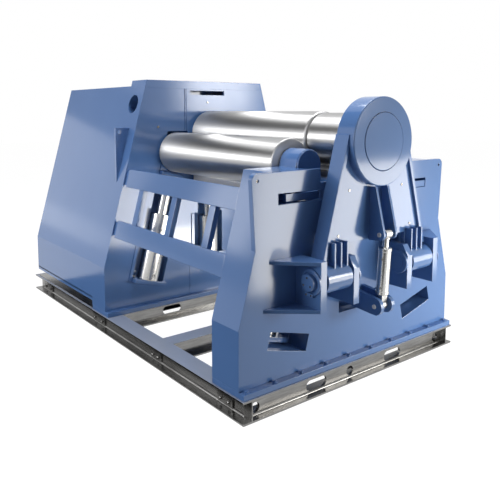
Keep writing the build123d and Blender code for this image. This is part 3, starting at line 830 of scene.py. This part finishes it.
def lift_seats(end):
    """Seats of the barrels, with a bolt on either side of each barrel."""
    node = f"{end}_lift_mounts"
    piece = bare_copy(node)
    soften(piece, 0.003)
    hand_over(piece, f"{node}_dressed", "frame", "blue_paint", (node,))
    ledge = 0.032
    x = drive_wall + ledge if end == "drive" else drop_wall - ledge
    places = []
    for guide in guides.values():
        up = Vector(guide.up)
        across = up.cross(Vector(roll_axis))
        foot = Vector((x, guide.y, guide.z)) + up * guide.bottom
        for step in (-0.128, 0.128):
            places.append((tuple(foot + across * step), guide.up))
    bolts = copied(hex_bolt(across=0.019, height=0.008), places)
    hand_over(bolts, f"{node}_bolts", "frame", "blue_paint")


def recess_rims():
    """Flat strips on the drive wall, one along an edge of each cylinder's recess."""
    past_end = 0.03
    strips = []
    for name, side in (("front_side", -1), ("bottom", -1), ("rear_side", 1)):
        guide = guides[name]
        low = (0, 0.149, guide.bottom - past_end)
        high = (0.008, 0.178, guide.top + past_end)
        strip = side_slab(side, low, high, soft=0.002)
        set_down(strip, (drive_wall, guide.y, guide.z), guide.up)
        strips.append(strip)
    hand_over(joined(strips), "recess_rims", "frame", "blue_paint")


def ear_bars():
    """Bars that close the slots in the ears of the end plate behind its face."""
    bars = [
        slab((1.470, -0.610, 1.223), (1.500, -0.335, 1.270), soft=0.003),
        slab((1.470, 0.331, 1.220), (1.532, 0.699, 1.266), soft=0.003),
    ]
    hand_over(joined(bars), "ear_slot_bars", "frame", "blue_paint")


recess_rims()
ear_bars()
for name in guides:
    carriage(name)
for end in lift_places:
    lift_cylinders(end)
    lift_seats(end)


# Yoke with its bearing, hinge and tilt cylinder
def bearing_ring():
    """Ring round the top roll's cone, with the seat of the cap."""
    profile = [
        (1.579, 0.110),
        (1.579, 0.272),
        (1.585, 0.278),
        (1.721, 0.278),
        (1.727, 0.272),
        (1.727, 0.184),
        (1.702, 0.184),
        (1.702, 0.110),
        (1.579, 0.110),
    ]
    piece = turned(profile, (0, 0, top_roll_z), roll_axis, sides=192, closed=True)
    soften(piece, 0.0015)
    hand_over(piece, "yoke_bearing_ring_turned", "yoke", "blue_paint", ("yoke_bearing_ring",))


def bearing_cap():
    """Cap over the bearing, flat and set in a groove."""
    profile = [(1.702, 0.181), (1.726, 0.181), (1.730, 0.178), (1.730, 0.02)]
    piece = turned(profile, (0, 0, top_roll_z), roll_axis, sides=192)
    soften(piece, 0.001)
    hand_over(piece, "yoke_bearing_cap_turned", "yoke", "blue_paint", ("yoke_bearing_cap",))


def hinge_pins():
    """Hinge pins with grooved heads, each with a boss, a keeper and screws at its outer end."""
    head_face, keeper_face, boss_face, boss_circle = 0.573, 0.583, 0.598, 0.032
    profile = [
        (0.216, 0.030),
        (0.216, 0.050),
        (0.219, 0.050),
        (0.219, 0.055),
        (0.217, 0.056),
        (0.217, 0.076),
        (0.221, 0.080),
        (0.232, 0.080),
        (0.232, 0.045),
        (0.560, 0.045),
        (0.560, 0.080),
        (0.569, 0.080),
        (head_face, 0.076),
        (head_face, 0.062),
        (0.567, 0.061),
        (0.567, 0.053),
        (0.594, 0.052),
        (boss_face, 0.048),
    ]
    pins, screws = [], []
    for side in (-1, 1):
        pins.append(turned(profile, (hinge_x, 0, hinge_z), (0, side, 0), sides=72))
        low = (hinge_x - 0.030, head_face, hinge_z - 0.084)
        high = (hinge_x + 0.030, keeper_face, hinge_z - 0.060)
        pins.append(side_slab(side, low, high, soft=0.002))
        for x in (-0.020, 0.020):
            screws.append(((hinge_x + x, side * keeper_face, hinge_z - 0.072), (0, side, 0)))
        for turn in (90, 210, 330):
            x = boss_circle * math.cos(math.radians(turn))
            z = boss_circle * math.sin(math.radians(turn))
            screws.append(((hinge_x + x, side * boss_face, hinge_z + z), (0, side, 0)))
    piece = joined(pins)
    soften(piece, 0.001)
    hand_over(piece, "hinge_pins_turned", "frame", "blue_paint", ("hinge_pins",))
    put_screws("hinge_screws", "frame", 0.006, 0.004, screws)


def eye(height, hole):
    """Round eye across the tilt cylinder, at a height along its line."""
    profile = [
        (-0.028, hole),
        (-0.028, 0.028),
        (-0.026, 0.030),
        (0.026, 0.030),
        (0.028, 0.028),
        (0.028, hole),
        (-0.028, hole),
    ]
    place = Vector(tilt_foot) + tilt_up * height
    ring = turned(profile, tuple(place), (0, 1, 0), sides=48, closed=True)
    soften(ring, 0.0008)
    return ring


def neck(low, high, half):
    """Flat-sided neck between an eye and a cylinder, along the tilt cylinder's line."""
    piece = slab((-half, -0.026, low), (half, 0.026, high), soft=0.003)
    set_down(piece, tilt_foot, tilt_up)
    return piece


def tilt_cylinder():
    """Bright tilt cylinder: tube with rings at its ends, rod, eyes and two ports."""
    tube_profile = [
        (0.072, 0.036),
        (0.076, 0.042),
        (0.094, 0.042),
        (0.097, 0.0395),
        (0.352, 0.0395),
        (0.355, 0.042),
        (0.372, 0.042),
        (0.376, 0.038),
        (0.376, 0.0205),
        (0.107, 0.0205),
    ]
    tube = turned(tube_profile, tilt_foot, tilt_up, sides=72)
    soften(tube, 0.0008)
    barrel = joined([tube, eye(0, hole=0.0142), neck(0.027, 0.080, half=0.024)])
    hand_over(barrel, "tilt_cylinder_barrel_turned", "tilt_barrel", "chrome", ("tilt_cylinder_barrel",))
    rod_profile = [(0.166, 0.018), (0.168, 0.020), (0.431, 0.020), (0.4325, 0.026), (0.440, 0.026)]
    rod = turned(rod_profile, tilt_foot, tilt_up, sides=48)
    soften(rod, 0.0006)
    rod = joined([rod, eye(tilt_length, hole=0.018)])
    hand_over(rod, "tilt_cylinder_rod_turned", "tilt_rod", "chrome", ("tilt_cylinder_rod",))
    port_seat = 0.0385
    side = Vector((0.35, -0.94, 0)).normalized()
    ports = []
    for level in (0.118, 0.305):
        place = Vector(tilt_foot) + tilt_up * level + side * port_seat
        ports.append((tuple(place), tuple(side)))
    put_screws("tilt_cylinder_ports", "tilt_barrel", 0.008, 0.003, ports)


def tilt_pins():
    """Ends of the two pins that hold the tilt cylinder's eyes."""
    profile = [(0, 0.014), (0.005, 0.014), (0.007, 0.012)]
    foot = Vector(tilt_foot)
    head = foot + tilt_up * tilt_length
    for name, body, middle, reach in (("foot", "frame", foot, 0.066), ("head", "yoke", head, 0.065)):
        for side, place in ((-1, "front"), (1, "rear")):
            pin = turned(profile, (middle.x, side * reach, middle.z), (0, side, 0), sides=32)
            hand_over(pin, f"tilt_{name}_pin_{place}", body, "polished_steel")


bearing_ring()
bearing_cap()
hinge_pins()
tilt_cylinder()
tilt_pins()


# Cleats and rounded roots of the base beams, doors and louvres of the housing
def cleats():
    """Plates bolted to the outer webs of the side beams at the joints of the base."""
    face, inset = 0.944, 0.035
    plates, bolts = [], []
    spans = ((-1.691, -1.500), (-0.544, -0.330), (0.440, 0.580), (1.262, 1.412))
    for side in (-1, 1):
        for low, high in spans:
            plates.append(side_slab(side, (low, 0.934, 0.016), (high, face, 0.124), soft=0.002))
            for x in (low + inset, high - inset):
                for z in (0.042, 0.098):
                    bolts.append(((x, side * face, z), (0, side, 0)))
    hand_over(joined(plates), "web_cleats", "frame", "bare_beam")
    hand_over(copied(hex_bolt(across=0.017, height=0.008), bolts), "cleat_bolts", "frame", "bare_beam")


def root_fillets():
    """Rounded roots between the webs and the bottom flanges on the outside of the base."""
    half, soft, root_z = 0.0085, 0.004, 0.012
    on_edge = math.radians(45)
    strips = []
    for side in (-1, 1):
        strip = slab((-1.726, -half, -half), (1.524, half, half), soft)
        strip.rotation_euler = (on_edge, 0, 0)
        strip.location = (0, side * 0.9335, root_z)
        fix_place(strip)
        strips.append(strip)
    for end, web in end_webs.items():
        strip = slab((-half, -0.929, -half), (half, 0.929, half), soft)
        strip.rotation_euler = (0, on_edge, 0)
        strip.location = (web + end * web_plate, 0, root_z)
        fix_place(strip)
        strips.append(strip)
    hand_over(joined(strips), "root_fillets", "frame", "bare_beam")


def doors():
    """Two doors with hinges and handles on the drive end of the housing."""
    door_face = housing_face - 0.012
    hinge_profile = [(0, 0.010), (0.09, 0.010), (0.092, 0.008)]
    panels, fittings = [], []
    for side in (-1, 1):
        panels.append(side_slab(side, (door_face, 0.030, 0.32), (housing_face, 0.800, 1.18), soft=0.004))
        for z in (0.46, 1.04):
            foot = (housing_face - 0.014, side * 0.806, z - 0.045)
            fittings.append(turned(hinge_profile, foot, upright, sides=24))
        for z in (0.70, 0.82):
            low = (housing_face - 0.030, 0.085, z - 0.008)
            high = (door_face, 0.105, z + 0.008)
            fittings.append(side_slab(side, low, high, soft=0.002))
        low = (housing_face - 0.034, 0.085, 0.69)
        high = (housing_face - 0.024, 0.105, 0.83)
        fittings.append(side_slab(side, low, high, soft=0.003))
    hand_over(joined(panels), "housing_doors", "frame", "blue_paint")
    piece = joined(fittings)
    soften(piece, 0.0008)
    hand_over(piece, "housing_door_fittings", "frame", "bare_beam")


def vents():
    """Two rows of louvres over the doors of the housing."""
    front, back = housing_face - 0.010, housing_face + 0.002
    half, height, pitch, count = 0.17, 0.022, 0.045, 7
    blades = []
    for y in (-0.36, 0.36):
        for step in range(count):
            z = 1.34 + step * pitch
            blade = slab((front, y - half, z), (back, y + half, z + height), soft=0)
            open_edit(blade)
            pick_faces(blade, lambda middle, normal: normal.z > 0.9)
            bpy.ops.transform.resize(value=(0.2, 0.96, 1), center_override=(back, y, z))
            close_edit()
            soften(blade, 0.001)
            blades.append(blade)
    hand_over(joined(blades), "housing_louvres", "frame", "blue_paint")


cleats()
root_fillets()
doors()
vents()


# Floor, light and camera
def seen_directly(finish):
    """1 for what the camera sees, straight, in a reflection or through a clear piece."""
    path = finish.node("ShaderNodeLightPath", {}, {})
    seen = Wire(finish, path.outputs["Is Camera Ray"])
    seen = seen + Wire(finish, path.outputs["Is Glossy Ray"])
    return seen + Wire(finish, path.outputs["Is Transmission Ray"])


def floor():
    """Pale floor, white in the picture, with a soft shadow and painted shade under the housing and the
    drop stand.
    """
    bpy.ops.object.select_all(action="DESELECT")
    bpy.ops.mesh.primitive_plane_add(size=60, location=origin)
    piece = bpy.context.object
    piece.name = "floor"
    material, finish = new_finish("floor")
    matt = finish.wire("ShaderNodeBsdfDiffuse", {}, {"Color": (0.4, 0.4, 0.4, 1)})
    shade = finish.wire("ShaderNodeBsdfDiffuse", {}, {"Color": (0.10, 0.10, 0.10, 1)})
    white = finish.wire("ShaderNodeEmission", {}, {"Color": (1, 1, 1, 1), "Strength": 0.985})
    pale = finish.wire("ShaderNodeAddShader", {}, {0: shade, 1: white})
    parted = finish.node("ShaderNodeSeparateXYZ", {}, {0: object_place(finish)})
    x, y = Wire(finish, parted.outputs[0]), Wire(finish, parted.outputs[1])
    # Painted shade: the floor is drawn dark under the housing and under the middle of the drop stand,
    # where the machine shades it.
    shade_under_housing = (x > -1.70) * (x < -0.40) * (y > -0.92) * (y < 0.92)
    shade_under_drop_stand = (x > 1.36) * (x < 1.52) * (y > -0.05) * (y < 0.12)
    painted_shade = shade_under_housing + shade_under_drop_stand
    pale = finish.wire("ShaderNodeMixShader", {}, {0: painted_shade, 1: pale, 2: shade})
    finish.show(finish.wire("ShaderNodeMixShader", {}, {0: seen_directly(finish), 1: matt, 2: pale}))
    piece.data.materials.append(material)


def world():
    """Even studio light, with a white background."""
    scene_world = bpy.data.worlds.new("studio")
    scene_world.use_nodes = True
    bpy.context.scene.world = scene_world
    finish = Finish(scene_world.node_tree, "ShaderNodeOutputWorld")
    fill = 0.09
    strength = fill + (1 - fill) * seen_directly(finish)
    finish.show(finish.wire("ShaderNodeBackground", {}, {"Color": (1, 1, 1, 1), "Strength": strength}))


def facing(place, target):
    """Turn that points -Z from a place to a target."""
    return (Vector(target) - Vector(place)).to_track_quat("-Z", "Y").to_euler()


def softbox(name, place, target, width, height, power, tint=(1, 1, 1), spread=180):
    """Area lamp that faces a point."""
    bpy.ops.object.select_all(action="DESELECT")
    bpy.ops.object.light_add(type="AREA", location=place)
    lamp = bpy.context.object
    lamp.name = name
    lamp.data.shape = "RECTANGLE"
    lamp.data.size = width
    lamp.data.size_y = height
    lamp.data.energy = power
    lamp.rotation_euler = facing(place, target)
    lamp.data.color = tint
    lamp.data.spread = math.radians(spread)
    lamp.visible_camera = False


def reflection_card(name, place, target, width, height, shade):
    """Dark studio card that shows in reflections alone: a painted dark reflection that lights and shades
    nothing.
    """
    bpy.ops.object.select_all(action="DESELECT")
    bpy.ops.mesh.primitive_plane_add(size=1, location=origin)
    card = bpy.context.object
    card.name = name
    card.scale = (width, height, 1)
    card.rotation_euler = facing(place, target)
    card.location = place
    fix_place(card)
    material, finish = new_finish(name)
    # Painted reflection: a faintly glowing grey that only reflected rays see.
    colour = (shade, shade, shade, 1)
    finish.show(finish.wire("ShaderNodeEmission", {}, {"Color": colour, "Strength": 1.0}))
    card.data.materials.append(material)
    card.visible_camera = False
    card.visible_diffuse = False
    card.visible_shadow = False


def camera():
    """Camera at the photograph's viewing angle, from its focal length and middle row in pixels."""
    picture, focal, middle_row = 500, 600.7075, 171.06
    down, turn, sensor = 5.7209, 51.7143, 36
    bpy.ops.object.camera_add(location=(4.1249, -2.9514, 1.7599))
    viewer = bpy.context.object
    viewer.rotation_euler = (math.radians(90 - down), 0, math.radians(turn))
    viewer.data.sensor_width = sensor
    viewer.data.lens = focal / picture * sensor
    viewer.data.shift_y = (middle_row - picture / 2) / picture
    bpy.context.scene.camera = viewer


floor()
world()

# Lamps: place, the point they face, width, height, power in watts, tint and spread in degrees
warm = (1.0, 0.96, 0.88)
softbox("low_box", (3.2, 1.58, 0.65), (0, 1.58, 0.65), 2.35, 1.22, 66, warm)
softbox("far_box", (10.0, 7.4, 3.1), (0, 7.4, 3.1), 2.4, 3.0, 310)
softbox("bay_box", (0.9, 0.15, 0.72), (-0.54, -0.67, 1.0), 1.1, 0.7, 1.8, warm, 50)
softbox("sill_box", (1.2, 0.5, 0.32), (-0.2, 0.1, 0.25), 1.0, 0.25, 12, warm)
softbox("left_box", (-4.6, -2.1, 1.5), (-1.2, -0.9, 1.2), 2.2, 1.6, 9)
softbox("corner_box", (-2.8, -3.85, 1.95), (1.4, -0.8, 1.3), 0.9, 1.1, 10)
softbox("top_box", (0.5, 0.35, 5.5), (0.2, 0, 1.0), 4.0, 2.3, 260)
softbox("front_box", (-1.2, -7.0, 3.0), (-0.4, -0.5, 1.2), 4.0, 2.2, 310)

# Cards that paint dark reflections: place, the point they face, width, height and how bright they look
reflection_card("roof_card", (-2.0, -2.2, 4.95), (-2.0, -0.33, 1.42), 10.0, 3.4, 0.06)
reflection_card("left_reflection_card", (-6.0, -4.0, 2.4), (0.5, -0.2, 1.5), 7.0, 2.6, 0.45)
reflection_card("front_card", (-0.2, -1.88, 0.004), (-0.2, -1.88, 1.0), 3.4, 1.74, 0.02)
reflection_card("camera_card", (5.0, -4.0, 0.004), (5.0, -4.0, 1.0), 5.6, 5.6, 0.05)
camera()
bpy.context.scene.view_settings.view_transform = "Standard"
